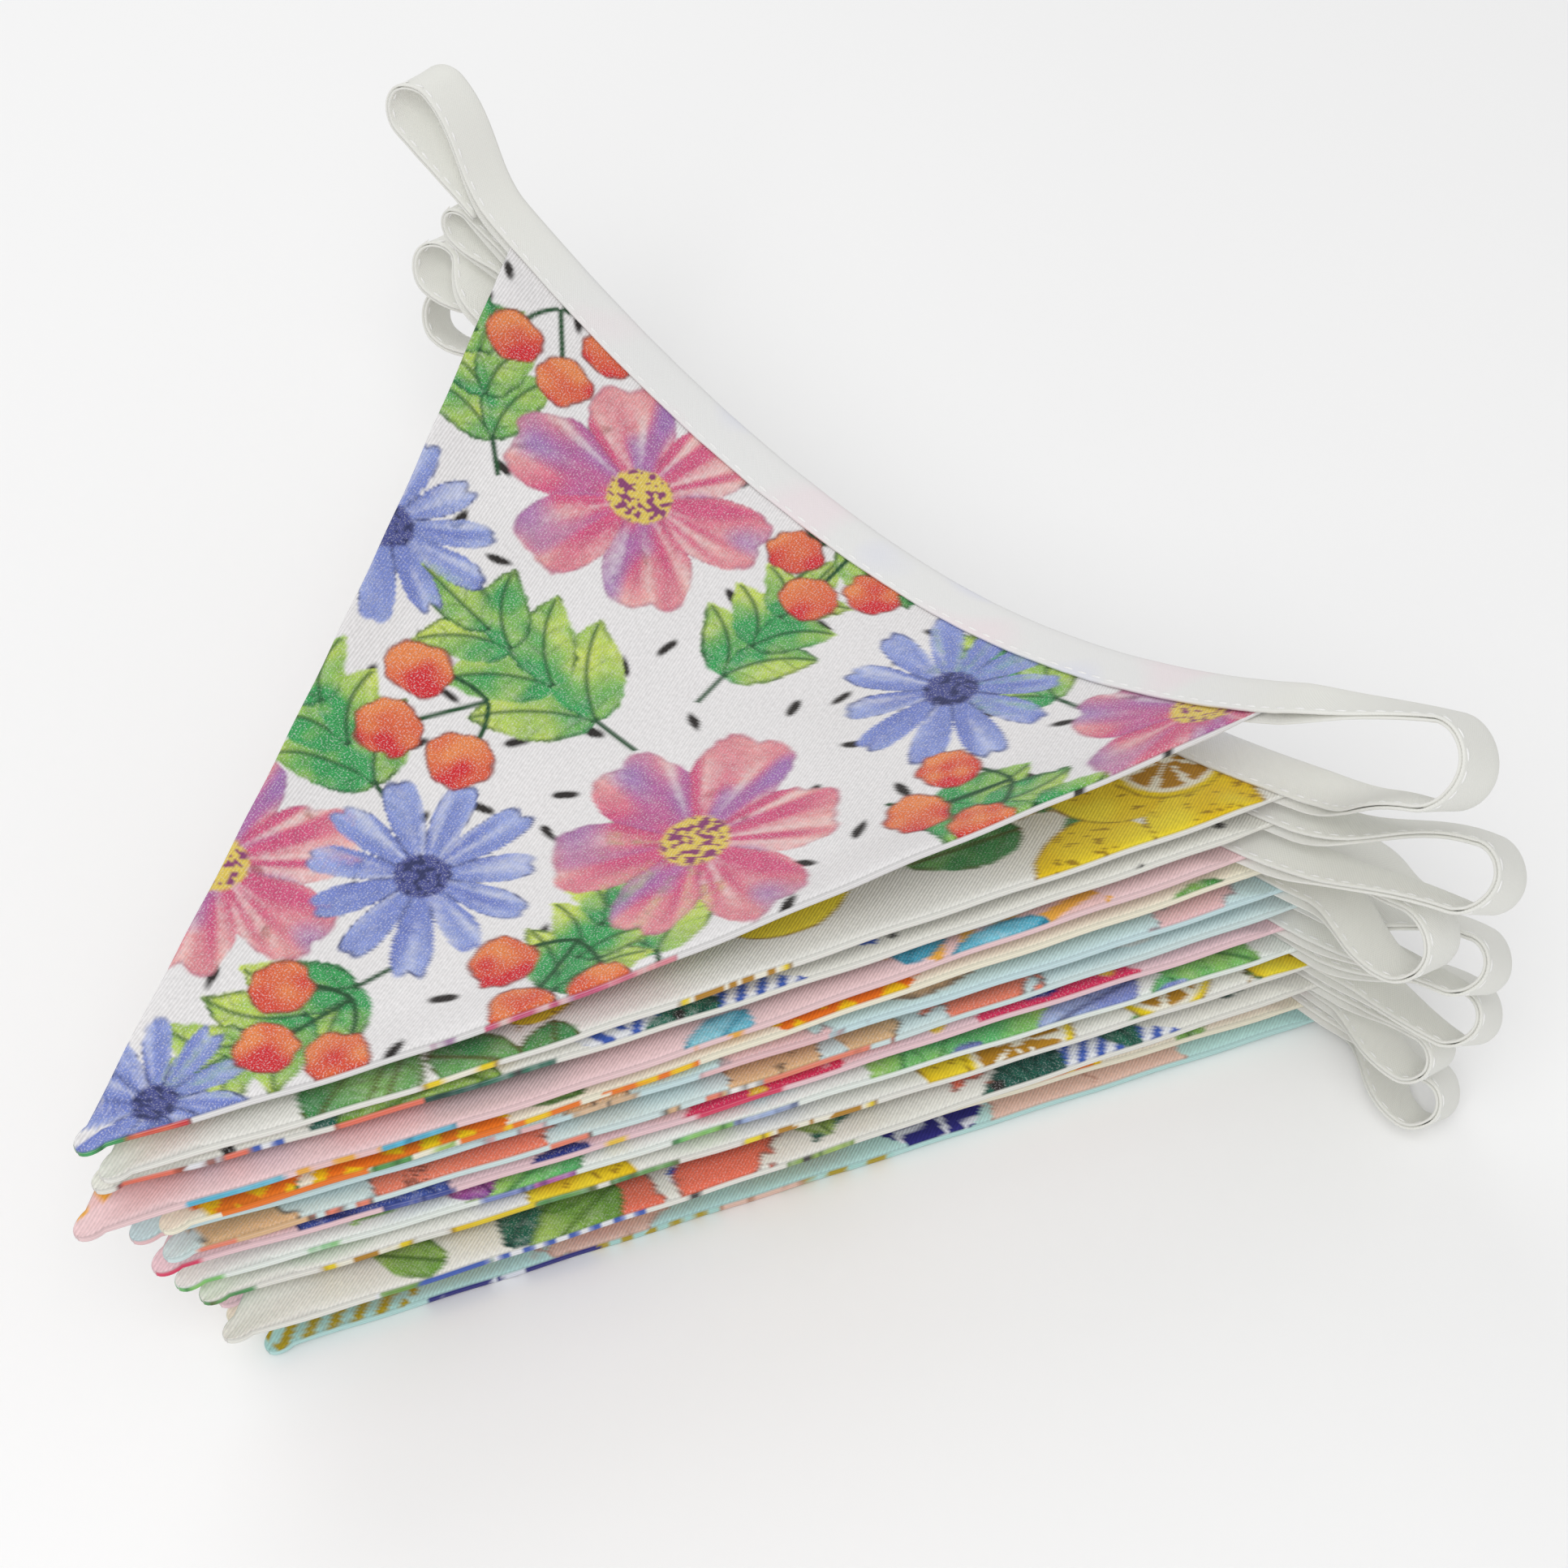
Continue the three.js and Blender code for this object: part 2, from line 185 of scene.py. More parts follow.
# printed cotton twill: ink sits on the yarn tops, and fine diagonal ribs show through the matt colour, as
# relief and as painted shade in their hollows
def makeTwill():
    material, tree, shader = freshMaterial("printedCottonTwill", 0.82, 0.12)
    ink = addNode(tree, "VertexColor", set_layer_name="print")
    uv = addNode(tree, "UVMap", set_uv_map="cut").outputs["UV"]
    turns = uvUnit * 2 * math.pi / twillWeave["rib"]
    steep = (twillWeave["lean"][0] * turns, twillWeave["lean"][1] * turns, 0)
    phase = addNode(tree, "VectorMath", {0: uv}, set_operation="DOT_PRODUCT", i1=steep)
    rib = addNode(tree, "Math", {0: phase.outputs["Value"]}, set_operation="SINE")
    scale = {key: uvUnit / twillWeave[key] for key in ("yarn", "cloud", "speck")}
    yarn = addNode(tree, "TexNoise", {"Vector": uv}, Scale=scale["yarn"], Detail=2.0)
    cloud = addNode(tree, "TexNoise", {"Vector": uv}, Scale=scale["cloud"], Detail=3.0)
    # painted light and shade: ribs and yarns darken the ink in their low hollows and lighten it on their
    # tops; soft clouds vary it at random; from and to these values
    shades = [
        (rib.outputs[0], {"From_Min": -1.0, "To_Min": 0.87, "To_Max": 1.03}),
        (yarn.outputs["Fac"], {"From_Min": 0.3, "From_Max": 0.7, "To_Min": 0.92, "To_Max": 1.05}),
        (cloud.outputs["Fac"], {"From_Min": 0.3, "From_Max": 0.7, "To_Min": 0.97, "To_Max": 1.02}),
    ]
    shades = [addNode(tree, "MapRange", {"Value": s}, **limits).outputs[0] for s, limits in shades]
    shade = addNode(tree, "Math", {0: shades[0], 1: shades[1]}, set_operation="MULTIPLY")
    shade = addNode(tree, "Math", {0: shade.outputs[0], 1: shades[2]}, set_operation="MULTIPLY")
    # ink skips the hollows between yarns, which leaves bare specks
    bare = addNode(tree, "Attribute", set_attribute_name="speck")
    dust = addNode(tree, "TexNoise", {"Vector": uv}, Scale=scale["speck"], Detail=1.0)
    dots = addNode(tree, "MapRange", {"Value": dust.outputs["Fac"]}, From_Min=0.52, From_Max=0.68)
    parts = {0: dots.outputs[0], 1: bare.outputs["Fac"]}
    dots = addNode(tree, "Math", parts, set_operation="MULTIPLY")
    cloth = (*linear(clothWhite), 1)
    parts = {0: dots.outputs[0], 6: ink.outputs["Color"]}
    inked = addNode(tree, "Mix", parts, set_data_type="RGBA", i7=cloth)
    parts = {6: inked.outputs[2], 7: shade.outputs[0]}
    colour = addNode(tree, "Mix", parts, set_data_type="RGBA", set_blend_type="MULTIPLY", i0=1.0)
    tree.links.new(colour.outputs[2], shader.inputs["Base Color"])
    relief = addNode(tree, "Math", {0: rib.outputs[0], 1: yarn.outputs["Fac"]}, set_operation="ADD")
    bump = addNode(tree, "Bump", {"Height": relief.outputs[0]}, Strength=0.35, Distance=0.12 * mm)
    tree.links.new(bump.outputs[0], shader.inputs["Normal"])
    return material


# sizes in mm; "shown" is the colour over a print, from one end of its clouds to the other
tapeWeave = {
    "thread": 0.5, "cloud": 26.0, "white": "#e9e9e3",
    "shown": [(0.36, "#e2e3ea"), (0.45, "#e8e8e7"), (0.56, "#e8e8e7"), (0.66, "#ece3e5")],
}


# white cotton tape: tight plain weave, bright and matt, its threads only a fine relief
def makeTapeCloth():
    material, tree, shader = freshMaterial("whiteCottonTape", 0.85, 0.15)
    uv = addNode(tree, "UVMap", set_uv_map="cut").outputs["UV"]
    split = addNode(tree, "SeparateXYZ", {0: uv})
    turns = uvUnit * 2 * math.pi / tapeWeave["thread"]
    waves = []
    for way in ("X", "Y"):
        phase = addNode(tree, "Math", {0: split.outputs[way]}, set_operation="MULTIPLY", i1=turns)
        waves.append(addNode(tree, "Math", {0: phase.outputs[0]}, set_operation="SINE").outputs[0])
    weave = addNode(tree, "Math", {0: waves[0], 1: waves[1]}, set_operation="MULTIPLY")
    cloud = addNode(tree, "TexNoise", {"Vector": uv}, Scale=uvUnit / tapeWeave["cloud"], Detail=1.0)
    # well over a flag its print shows through as faint pink and lilac patches, the rest is a warm white
    tint = addNode(tree, "ValToRGB", {"Fac": cloud.outputs["Fac"]})
    stops = tint.color_ramp.elements
    first, *between, last = tapeWeave["shown"]
    for stop, (spot, code) in ((stops[0], first), (stops[1], last)):
        stop.position = spot
        stop.color = (*linear(code), 1)
    for spot, code in between:
        stops.new(spot).color = (*linear(code), 1)
    over = addNode(tree, "Attribute", set_attribute_name="overFlag")
    white = (*linear(tapeWeave["white"]), 1)
    parts = {0: over.outputs["Fac"], 7: tint.outputs["Color"]}
    colour = addNode(tree, "Mix", parts, set_data_type="RGBA", i6=white)
    tree.links.new(colour.outputs[2], shader.inputs["Base Color"])
    bump = addNode(tree, "Bump", {"Height": weave.outputs[0]}, Strength=0.25, Distance=0.1 * mm)
    tree.links.new(bump.outputs[0], shader.inputs["Normal"])
    return material


# a plain surface of two near tones, mixed by soft clouds of one size in metres
def makeTwoTone(name, roughness, sheen, cloud, detail, tones):
    material, tree, shader = freshMaterial(name, roughness, sheen)
    place = addNode(tree, "TexCoord").outputs["Object"]
    wisp = addNode(tree, "TexNoise", {"Vector": place}, Scale=1 / cloud, Detail=detail)
    low, high = ((*linear(code), 1) for code in tones)
    colour = addNode(tree, "Mix", {0: wisp.outputs["Fac"]}, set_data_type="RGBA", i6=low, i7=high)
    tree.links.new(colour.outputs[2], shader.inputs["Base Color"])
    return material


twill = makeTwill()
tapeCloth = makeTapeCloth()
# polyester sewing thread: smoother and brighter than the tape, twisted too fine to show
thread = makeTwoTone("whitePolyesterThread", 0.5, 0.1, 0.8 * mm, 2.0, ("#e4e3e1", "#fbfbfa"))
# paper sweep: matt and near white, with hardly any pattern
paper = makeTwoTone("whitePaperSweep", 0.9, 0.0, 1 / 3, 2.0, ("#fafafa", "#fdfdfd"))
print("materials done")

inkEdge = 0.4  # mm over which a printed edge softens
nearBy = {"times": 1.15, "plus": 3}  # reach of a motif for its length, with a little to spare


# a motif is a row: its place and direction on the cut flag, its sizes in mm and its colours;
# it is laid over the colours so far, with how far bare cloth shows through it as small specks
def lay(colours, part, alpha, tint, speck=0.0):
    ink = np.column_stack([np.broadcast_to(tint, (len(part), 3)), np.full(len(part), speck)])
    colours[part] = colours[part] * (1 - alpha[:, None]) + ink * alpha[:, None]


def filled(gap, edge=inkEdge):
    return np.clip(gap / edge + 0.5, 0, 1)


def lined(gap):
    return np.clip(1 - np.abs(gap) / inkEdge, 0, 1)


def fromMiddle(value, pitch):
    return np.abs((value / pitch) % 1 - 0.5) * pitch


def blend(low, high, share):
    return linear(low) * (1 - share[:, None]) + linear(high) * share[:, None]


def mottle(a, d, size, seed):
    # uneven ink in patches of one size in mm
    return grain(a / size, d / size, seed)


def near(across, down, row):
    x, y = row["at"]
    reach = row["length"] * nearBy["times"] + nearBy["plus"]
    return np.nonzero((across - x) ** 2 + (down - y) ** 2 < reach * reach)[0]


def local(across, down, row):
    x, y = row["at"]
    c, s = math.cos(math.radians(row["turn"])), math.sin(math.radians(row["turn"]))
    return c * (across - x) + s * (down - y), -s * (across - x) + c * (down - y)


leafInk = {
    "full": 3.16, "round": 0.7, "ragged": 0.6, "bend": 0, "speck": 0.42, "bareCloth": "#e9e7e9",
    "line": 0.8, "rim": 0.55, "rib": 0.5, "veins": 5.0, "vein": 0.4, "veinShade": 0.55, "foot": 0.04,
}


def drawLeaf(colours, across, down, row):
    row = {**leafInk, **row}
    part = near(across, down, row)
    a, d = across[part], down[part]
    u, v = local(a, d, row)
    t = u / row["length"]
    inner = np.clip(t, 0.001, 0.999)
    side = v - row["bend"] * 4 * inner * (1 - inner)
    half = row["width"] * row["full"] * inner ** row["round"] * (1 - inner)
    half = half + row["ragged"] * (mottle(a, d, 1.1, 3) + mottle(a, d, 4, 17) - 1)
    gap = np.where((t > 0) & (t < 1), half - np.abs(side), -1.0)
    alpha = filled(gap)
    # washes of two tones, paler specks of bare cloth and sketched dark lines
    wash = mottle(a, d, 9, 5) * 0.8 + mottle(a, d, 2.6, 8) * 0.4 - 0.6
    blendTo = np.clip(inner * 0.9 - 0.05 + 1.3 * wash + 0.1 * np.sign(side), 0, 1)
    tint = blend(row["base"], row["end"], blendTo)
    speck = np.clip(mottle(a, d, 0.55, 11) * 3 - 1.7, 0, 1) * np.clip(0.5 + 2 * wash, 0.1, 0.9)
    tint = tint * (0.86 + 0.24 * mottle(a, d, 0.8, 12))[:, None]
    tint = tint + (linear(row["bareCloth"]) - tint) * (0.25 * speck)[:, None]
    lay(colours, part, alpha, np.clip(tint, 0, 1), row["speck"])
    ink = linear(row["ink"])
    sketch = np.clip(mottle(a, d, 5, 14) * 3 - 0.8, 0, 1) * (0.55 + 0.6 * mottle(a, d, 0.7, 15))
    rim = np.clip(1.3 - np.abs(gap - 0.3) / row["rim"], 0, 1) * sketch * row["line"]
    rib = np.clip(1.2 - np.abs(side) / row["rib"], 0, 1) * (inner < 0.95) * (t > 0) * row["line"]
    vein = fromMiddle(inner * row["length"] - 0.9 * np.abs(side), row["veins"])
    vein = np.clip(1.1 - vein / row["vein"], 0, 1) * row["veinShade"] * sketch * row["line"]
    lay(colours, part, np.clip(np.maximum(np.maximum(rim, rib), vein), 0, 1) * (alpha > 0.4), ink)
    foot = np.clip(1.2 - np.abs(v) / row["rim"], 0, 1) * (t < row["foot"]) * (u > 0)
    lay(colours, part, foot, ink)


petalInk = {
    "shortest": 0.8, "notch": 0.1, "ragged": 2.2, "rough": 0.8, "edge": 0.7, "speck": 0.42,
    "rim": 0.5, "seam": 0.4, "disc": 0.2, "discEdge": 0.6, "discSpeck": 0.3,
}


def drawFlower(colours, across, down, row):
    row = {**petalInk, **row}
    part = near(across, down, row)
    a, d = across[part], down[part]
    u, v = local(a, d, row)
    r = np.hypot(u, v)
    turned = np.arctan2(v, u) / (2 * math.pi) % 1 * row["petals"]
    petal = np.floor(turned)
    off = turned - petal - 0.5
    # each petal has its own reach, a notched ragged end, and brush strokes that run out from the middle
    spare = 1 - row["shortest"]
    reach = row["length"] * (row["shortest"] + spare * grain(petal * 3.7, petal * 1.9 + row["turn"], 6))
    strand = grain(off * row["strokes"] + 9 * petal, r / 13, 4)
    half = reach * (1 - row["cut"] * np.abs(2 * off) ** 2.2 - row["notch"] * (1 - np.abs(2 * off)) ** 3)
    gap = half - r + row["ragged"] * (strand - 0.5) + row["rough"] * (mottle(a, d, 1.3, 3) - 0.5)
    dry = mottle(a, d, 0.55, 25)
    alpha = np.clip(gap / row["edge"] + 0.4, 0, 1) * np.clip(0.35 + 0.9 * strand + 0.4 * dry, 0, 1)
    deep = np.clip(1.3 * strand + 0.75 - 1.25 * r / reach, 0, 1)
    cool = np.clip(grain(off * 3.2 + 9 * petal, r / 10, 2) * 2.6 - 1.5, 0, 0.85)[:, None]
    tint = blend(row["base"], row["end"], deep)
    tint = tint * (1 - cool) + linear(row["cool"]) * cool
    lay(colours, part, alpha, tint * (0.88 + 0.2 * mottle(a, d, 0.8, 12))[:, None], row["speck"])
    ink = linear(row["ink"])
    sketch = np.clip(mottle(a, d, 5, 14) * 3 - 0.6, 0, 1) * (0.5 + 0.5 * dry)
    toSeam = (0.5 - np.abs(off)) * 2 * math.pi * r / row["petals"]
    seam = np.clip(1.1 - toSeam / row["seam"], 0, 1) * (gap > 0)
    rim = np.clip(1.2 - np.abs(gap - 0.3) / row["rim"], 0, 1)
    lay(colours, part, np.maximum(seam, rim) * sketch * row["line"], ink)
    # the middle is a stippled disc
    disc = np.clip((row["disc"] * row["length"] - r) / row["discEdge"] + 0.5 + (dry - 0.5), 0, 1)
    lay(colours, part, disc, linear(row["middle"]), row["discSpeck"])
    lay(colours, part, disc * (mottle(a, d, 0.7, 31) > 0.62), ink)


def drawStem(colours, across, down, row):
    part = near(across, down, row)
    u, v = local(across[part], down[part], row)
    t = np.clip(u / row["length"], 0, 1)
    side = np.abs(v - row["bend"] * 4 * t * (1 - t))
    lay(colours, part, filled(row["width"] - side) * (t > 0) * (t < 1), linear(row["ink"]))


def drawBlob(colours, across, down, row):
    row = {"wobble": 0.25, "speck": 0.0, "ink": None, "line": 0.85, **row}
    part = near(across, down, row)
    a, d = across[part], down[part]
    u, v = local(a, d, row)
    wobble = row["wobble"] * row["width"] * (mottle(a, d, 1.8, 21) - 0.5) * 2
    gap = row["width"] * (1 - np.sqrt((u / row["length"]) ** 2 + (v / row["width"]) ** 2)) + wobble
    wash = np.clip(0.5 - 0.7 * (u + v) / (2 * row["length"]) + mottle(a, d, 3, 5) - 0.5, 0, 1)
    lay(colours, part, filled(gap), blend(row["base"], row["end"], wash), row["speck"])
    if row["ink"]:
        lay(colours, part, lined(gap) * row["line"], linear(row["ink"]))


# an oval with a small point at each end, and dark pores on its shaded side
lemonCut = {"oval": 0.86, "point": 0.16, "line": 0.85, "pore": 0.9, "poreShade": 0.75, "shaded": 0.45}


def drawLemon(colours, across, down, row):
    part = near(across, down, row)
    a, d = across[part], down[part]
    u, v = local(a, d, row)
    t = np.clip(np.abs(u) / row["length"], 0, 1)
    oval = np.sqrt(np.clip(1 - (t / lemonCut["oval"]) ** 2, 0, 1))
    half = row["width"] * (oval + lemonCut["point"] * (1 - t))
    gap = np.where(np.abs(u) < row["length"], half - np.abs(v), -1.0)
    warm = np.clip(0.5 + v / row["width"] * 0.6 + mottle(a, d, 4, 2) - 0.5, 0, 1)
    lay(colours, part, filled(gap), blend(row["base"], row["end"], warm))
    pores = (mottle(a, d, lemonCut["pore"], 31) > 0.8) * (gap > 0.8) * (warm > lemonCut["shaded"])
    lay(colours, part, pores * lemonCut["poreShade"], linear(row["ink"]))
    lay(colours, part, lined(gap - 0.1) * lemonCut["line"], linear(row["ink"]))


# radii and line for a radius of 1, degrees of a wedge and the half share of it that is flesh
sliceCut = {"pith": 0.86, "flesh": 0.76, "core": 0.12, "line": 0.8, "wedge": 45, "open": 0.36}
pithWhite = "#f7f3e2"


def drawSlice(colours, across, down, row):
    part = near(across, down, row)
    u, v = local(across[part], down[part], row)
    r = np.hypot(u, v)
    size = row["length"]
    spoke = np.abs((np.degrees(np.arctan2(v, u)) / sliceCut["wedge"]) % 1 - 0.5)
    lay(colours, part, filled(size - r), linear(row["base"]))
    lay(colours, part, filled(size * sliceCut["pith"] - r), linear(pithWhite))
    wedge = filled(size * sliceCut["flesh"] - r) * (spoke < sliceCut["open"]) * (r > size * sliceCut["core"])
    lay(colours, part, wedge, linear(row["end"]))
    lay(colours, part, lined(r - size) * sliceCut["line"], linear(row["ink"]))


def inBox(u, v, row):
    return (np.abs(u) < row["length"]) & (np.abs(v) < row["width"])


barEdge = 0.3  # mm over which a bar's edge softens
barBare = {"along": 0.5, "cross": 0.62}  # share of each pitch that stays clear


def drawBars(colours, across, down, row):
    part = near(across, down, row)
    u, v = local(across[part], down[part], row)
    pitch = row["pitch"]
    inside = inBox(u, v, row)

    def bars(along, bare):
        return filled(fromMiddle(along, pitch) - 0.5 * pitch * bare, barEdge)

    lay(colours, part, inside * 1.0, linear(row["base"]))
    lay(colours, part, inside * bars(u, barBare["along"]), linear(row["end"]))
    if row.get("cross"):
        lay(colours, part, inside * bars(v, barBare["cross"]), linear(row["end"]))


zigzagBand = {"tooth": 6, "pitch": 5, "half": 0.7}


def drawZigzag(colours, across, down, row):
    part = near(across, down, row)
    u, v = local(across[part], down[part], row)
    inside = inBox(u, v, row)
    tooth = fromMiddle(u, zigzagBand["tooth"])
    band = fromMiddle(v + tooth, zigzagBand["pitch"])
    lay(colours, part, inside * 1.0, linear(row["base"]))
    lay(colours, part, inside * filled(zigzagBand["half"] - band, barEdge), linear(row["end"]))


draw = {
    "leaf": drawLeaf, "stem": drawStem, "flower": drawFlower, "blob": drawBlob, "lemon": drawLemon,
    "slice": drawSlice, "bars": drawBars, "zigzag": drawZigzag,
}

pinkFlower = {
    "kind": "flower", "petals": 6, "cut": 0.42, "strokes": 9, "line": 0.5,
    "base": "#f3b3ab", "end": "#d65681", "cool": "#9a75ba", "ink": "#8f4675", "middle": "#e3c85a",
}
blueFlower = {
    "kind": "flower", "petals": 11, "cut": 0.6, "strokes": 5, "line": 0.9,
    "base": "#a6b6ea", "end": "#7f8fd2", "cool": "#6f7fcb", "ink": "#343a66", "middle": "#4a5192",
}
greenLeaf = {"kind": "leaf", "base": "#33a355", "end": "#cbdf5c", "ink": "#23502f", "veins": 4.0}
redBerry = {
    "kind": "blob", "turn": 0, "wobble": 0.12, "speck": 0.42,
    "base": "#d6222c", "end": "#ee8a4c", "ink": "#7c2f2f",
}
inkDash = {"kind": "blob", "length": 2.1, "width": 0.8, "base": "#2b2725", "end": "#2b2725"}
# shares of the sprig's length, but for the spread in degrees, and the leaves' bend and half the line in mm
sprig = {
    "stalk": 0.8, "line": 0.45, "pairs": 3, "foot": 0.2, "step": 0.22, "spread": 46, "bend": 2,
    "leaf": 0.46, "shrink": 0.12, "slim": 0.3, "endFoot": 0.75, "endLeaf": 0.36, "endWidth": 0.1,
}
# lean in degrees and reach, in berries' lengths, of each stalk in a bunch
berryBunch = {"stalks": [(-46, 2.3), (2, 3.0), (50, 2.2)], "bend": 0.03, "slim": 0.95}
# mm of the ink dashes' rows and columns, and how far one strays across and down
dashGrid = {"down": range(8, 168, 11), "across": range(-80, 90, 14), "stray": (4, 3)}


def stalkRow(x, y, turn, length, bend):
    stalk = {"kind": "stem", "at": (x, y), "turn": turn, "length": length, "bend": bend}
    return {**stalk, "width": sprig["line"], "ink": greenLeaf["ink"]}


def sprigRows(x, y, turn, length):
    ahead = np.array([math.cos(math.radians(turn)), math.sin(math.radians(turn))])
    rows = [stalkRow(x, y, turn, length * sprig["stalk"], 0)]
    for n in range(sprig["pairs"]):
        foot = np.array([x, y]) + ahead * length * (sprig["foot"] + sprig["step"] * n)
        size = length * sprig["leaf"] * (1 - sprig["shrink"] * n)
        for side in (-1, 1):
            leaf = {**greenLeaf, "at": foot, "length": size, "width": size * sprig["slim"]}
            rows.append({**leaf, "turn": turn + side * sprig["spread"], "bend": -sprig["bend"] * side})
    end = {**greenLeaf, "at": np.array([x, y]) + ahead * length * sprig["endFoot"], "turn": turn}
    return rows + [{**end, "length": length * sprig["endLeaf"], "width": length * sprig["endWidth"]}]


def berryRows(x, y, size, turn):
    stalks, berries = [], []
    for lean, reach in berryBunch["stalks"]:
        way = math.radians(turn + lean)
        spot = (x + reach * size * math.cos(way), y + reach * size * math.sin(way))
        stalks.append(stalkRow(x, y, turn + lean, reach * size, berryBunch["bend"] * lean))
        berries.append({**redBerry, "at": spot, "length": size, "width": size * berryBunch["slim"]})
    return stalks + berries


# the top flag's print, a tossed garden design: ink dashes below, then sprigs, flowers, berries
topDice = np.random.default_rng(12)
flowerRows = []
strayX, strayY = dashGrid["stray"]
for down in dashGrid["down"]:
    for across in dashGrid["across"]:
        spot = (across + topDice.uniform(-strayX, strayX), down + topDice.uniform(-strayY, strayY))
        flowerRows.append({**inkDash, "at": spot, "turn": topDice.uniform(0, 180)})
# foot, turn and length of each sprig
for place in [
    (2, 62, 180, 46), (2, 48, 262, 36), (46, 48, 338, 38), (8, 116, 100, 40), (-14, 98, 192, 38),
    (-54, 40, 216, 36), (46, 96, 214, 40), (-12, 8, 340, 34), (58, 14, 186, 34), (34, 112, 250, 34),
]:
    flowerRows += sprigRows(*place)
# middle, length and turn of each flower
for x, y, size, turn in [(-36, 24, 28, 10), (25, 70, 28, 40), (-25, 125, 25, 25), (76, 7, 26, 5)]:
    flowerRows.append({**pinkFlower, "at": (x, y), "length": size, "turn": turn})
for x, y, size, turn in [(-57, 62, 22, 0), (34, 20, 23, 12), (-3, 103, 22, 30), (2, 158, 17, 8)]:
    flowerRows.append({**blueFlower, "at": (x, y), "length": size, "turn": turn})
# foot, berry's length and turn of each bunch
for place in [
    (-3, 4, 5.0, 80), (-22, 72, 5.6, 110), (60, 34, 5.2, 118),
    (26, 96, 5.4, 70), (8, 126, 5.0, 96), (-72, 8, 5.0, 40),
]:
    flowerRows += berryRows(*place)


def motif(kind, count, size, slim, base, end, ink=None, **more):
    colours = {"base": base, "end": end, "ink": ink}
    return {"kind": kind, "count": count, "size": size, "slim": slim, **colours, **more}


# the other prints: ground colour, then kinds of motif scattered over the cut, each with its count,
# least and most length in mm, width for a length of 1, two colours and ink
prints = {
    "leaf": {"ground": "#eeecec", "rows": flowerRows, "scatter": []},
    "lemon": {"ground": "#efeee7", "scatter": [
        motif("leaf", 21, (14, 22), 0.3, "#3f8f4c", "#8cc06a", "#5a4a1e"),
        motif("lemon", 24, (10, 14), 0.62, "#f7e23a", "#edc81a", "#8a5f17"),
        motif("slice", 14, (8, 10), 1, "#f2d51c", "#b98520", "#8a5f17")]},
    "garden": {"ground": "#eeede5", "scatter": [
        motif("bars", 12, (12, 17), 0.5, "#eef0f4", "#4060b8", pitch=3.0),
        motif("blob", 18, (9, 14), 0.6, "#ee7358", "#ee7358", "#7a3a2a"),
        motif("leaf", 27, (18, 30), 0.22, "#0f5a4c", "#2d7a5e", "#08352d"),
        motif("leaf", 21, (12, 20), 0.3, "#6fa03a", "#a5c65f", "#3c5f1e"),
        motif("blob", 58, (0.8, 1.3), 0.8, "#2b2725", "#2b2725")]},
    "stripe": {"ground": "#f3d2d4", "scatter": [
        motif("bars", 15, (14, 22), 0.35, "#f0c8c6", "#f2b046", pitch=4.5),
        motif("leaf", 18, (16, 26), 0.25, "#4db8d8", "#8fd4e4", "#2a7f9c")]},
    "lattice": {"ground": "#f8f2dc", "scatter": [
        motif("leaf", 32, (12, 20), 0.22, "#4fa04a", "#a8cf5f", "#2f5f2c"),
        motif("bars", 18, (11, 16), 0.7, "#f9cc10", "#f27a1a", pitch=5.5, cross=True)]},
    "sky": {"ground": "#cfe9ed", "scatter": [
        motif("blob", 22, (9, 16), 0.55, "#eec3c6", "#eec3c6", "#8b7f86"),
        motif("leaf", 21, (14, 24), 0.25, "#e9c9a4", "#d9a878", "#4b4440")]},
    "coral": {"ground": "#d8eaea", "scatter": [
        motif("blob", 33, (10, 18), 0.55, "#ee8266", "#ee8266", "#2f2a2a"),
        motif("blob", 21, (7, 12), 0.6, "#e3b98a", "#e3b98a", "#2f2a2a"),
        motif("leaf", 15, (12, 20), 0.25, "#f4f1ea", "#ffffff", "#2f2a2a")]},
    "berry": {"ground": "#f3d0d6", "scatter": [
        motif("blob", 21, (9, 15), 0.6, "#e0305f", "#e0305f"),
        motif("leaf", 18, (14, 24), 0.28, "#2b3a90", "#4a62b8", "#1d2460"),
        motif("bars", 14, (8, 12), 0.6, "#5cc3dc", "#3fa9cf", pitch=3.5),
        motif("blob", 68, (1.2, 2), 0.9, "#f4c93a", "#f4c93a")]},
    "mint": {"ground": "#eff6f0", "scatter": [
        motif("leaf", 33, (16, 28), 0.28, "#5fc070", "#a5d65f", "#2d6a38"),
        motif("leaf", 18, (12, 20), 0.3, "#a058b0", "#d860a8", "#5f2f70"),
        motif("leaf", 15, (12, 20), 0.3, "#7f8fd0", "#a9bfe8", "#39406e")]},
    "aqua": {"ground": "#c2e9e6", "scatter": [
        motif("bars", 18, (14, 22), 0.4, "#b5e2dc", "#b8a020", pitch=3.2),
        motif("blob", 15, (10, 16), 0.6, "#efc9b8", "#efc9b8", "#c08a78"),
        motif("zigzag", 14, (12, 18), 0.55, "#2b2a80", "#e9eef8")]},
}
printOf = [
    "leaf", "lemon", "garden", "stripe", "lattice", "sky", "coral",
    "berry", "mint", "lemon", "garden", "berry", "lattice", "aqua",
]
# first share of the flag's area, mm past its edges, bare specks, and the two panels' first seeds
scatter = {"from": 0.02, "beyond": 4, "speck": 0.25, "upperSeed": 40, "underSeed": 80}


